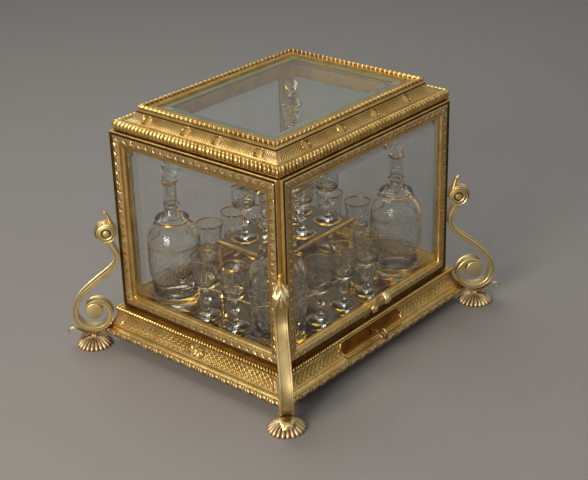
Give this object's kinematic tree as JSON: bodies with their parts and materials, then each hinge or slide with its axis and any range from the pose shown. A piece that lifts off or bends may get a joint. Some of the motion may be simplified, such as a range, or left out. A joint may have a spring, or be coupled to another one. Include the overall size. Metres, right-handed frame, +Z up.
{
  "type": "liqueur cabinet",
  "caption": "Gilt bronze and bevelled glass liqueur cabinet on scroll brackets, with a lift-up lid and front, a key lock, stoppered decanters and stemmed glasses.",
  "frame": {"origin": "on the floor, under the middle of the case", "axes": "+X to the right seen from the front, -Y the front with the lock, +Z up"},
  "size_m": [0.392, 0.328, 0.2853],
  "materials": {
    "gilt_bronze": "chased and gilt, satin with bright ridges",
    "burnished_gilt": "burnished gilt",
    "bevelled_glass": "polished plate with a bevelled border",
    "cut_crystal": "clear, engraved and gilt-banded",
    "mirror": "silvered, aged",
    "lock_steel": "dull steel",
    "ebonised_board": "stained black"
  },
  "bodies": {
    "cabinet": {"base_moulding": "gilt_bronze", "bottom_board": "ebonised_board", "mirror_floor": "mirror", "lock_case": "lock_steel", "lock_plate": "burnished_gilt", "left_frame": "gilt_bronze", "right_frame": "gilt_bronze", "rear_frame": "gilt_bronze", "left_pane": "bevelled_glass", "right_pane": "bevelled_glass", "rear_pane": "bevelled_glass", "left_hinge_case_leaf": "gilt_bronze", "left_hinge_pin": "lock_steel", "right_hinge_case_leaf": "gilt_bronze", "right_hinge_pin": "lock_steel", "tray_frame": "gilt_bronze", "tray_plate": "mirror", "wire_gallery": "gilt_bronze", "scroll_bracket_front_left": "burnished_gilt", "shell_foot_front_left": "gilt_bronze", "decanter_front_left": "cut_crystal", "scroll_bracket_front_right": "burnished_gilt", "shell_foot_front_right": "gilt_bronze", "decanter_front_right": "cut_crystal", "scroll_bracket_rear_left": "burnished_gilt", "shell_foot_rear_left": "gilt_bronze", "decanter_rear_left": "cut_crystal", "scroll_bracket_rear_right": "burnished_gilt", "shell_foot_rear_right": "gilt_bronze", "decanter_rear_right": "cut_crystal", "glass_01": "cut_crystal", "glass_02": "cut_crystal", "glass_03": "cut_crystal", "glass_04": "cut_crystal", "glass_05": "cut_crystal", "glass_06": "cut_crystal", "glass_07": "cut_crystal", "glass_08": "cut_crystal", "glass_09": "cut_crystal", "glass_10": "cut_crystal", "glass_11": "cut_crystal", "glass_12": "cut_crystal", "glass_13": "cut_crystal", "glass_14": "cut_crystal", "glass_15": "cut_crystal", "glass_16": "cut_crystal"},
    "lid_and_front": {"lid_frame": "gilt_bronze", "lid_pane": "bevelled_glass", "front_frame": "gilt_bronze", "front_pane": "bevelled_glass", "thumb_lift": "burnished_gilt", "left_hinge_lid_leaf": "gilt_bronze", "right_hinge_lid_leaf": "gilt_bronze"},
    "bolt": {"lock_bolt": "lock_steel"},
    "turning_key": {"key": "lock_steel"},
    "lifted_stopper_front_left": {"stopper_front_left": "cut_crystal"},
    "lifted_stopper_front_right": {"stopper_front_right": "cut_crystal"},
    "lifted_stopper_rear_left": {"stopper_rear_left": "cut_crystal"},
    "lifted_stopper_rear_right": {"stopper_rear_right": "cut_crystal"}
  },
  "joints": [
    {"name": "lid_hinge", "type": "hinge", "parent": "cabinet", "child": "lid_and_front", "pos_m": [0, 0.1209, 0.25855], "axis": [-1, 0, 0], "range_deg": [0, 110]},
    {"name": "key_turn", "type": "hinge", "parent": "cabinet", "child": "turning_key", "pos_m": [-0.008, -0.1236, 0.0355], "axis": [0, 1, 0], "range_deg": [0, 180]},
    {"name": "bolt_slide", "type": "slide", "parent": "cabinet", "child": "bolt", "axis": [0, 0, 1], "range_m": [0, 0.006]},
    {"name": "stopper_lift_front_left", "type": "slide", "parent": "cabinet", "child": "lifted_stopper_front_left", "axis": [0, 0, 1], "range_m": [0, 0.018]},
    {"name": "stopper_lift_front_right", "type": "slide", "parent": "cabinet", "child": "lifted_stopper_front_right", "axis": [0, 0, 1], "range_m": [0, 0.018]},
    {"name": "stopper_lift_rear_left", "type": "slide", "parent": "cabinet", "child": "lifted_stopper_rear_left", "axis": [0, 0, 1], "range_m": [0, 0.018]},
    {"name": "stopper_lift_rear_right", "type": "slide", "parent": "cabinet", "child": "lifted_stopper_rear_right", "axis": [0, 0, 1], "range_m": [0, 0.018]}
  ],
  "couplings": [
    {"joint": "key_turn", "follows": "bolt_slide", "rad_per_m": 523.5}
  ]
}
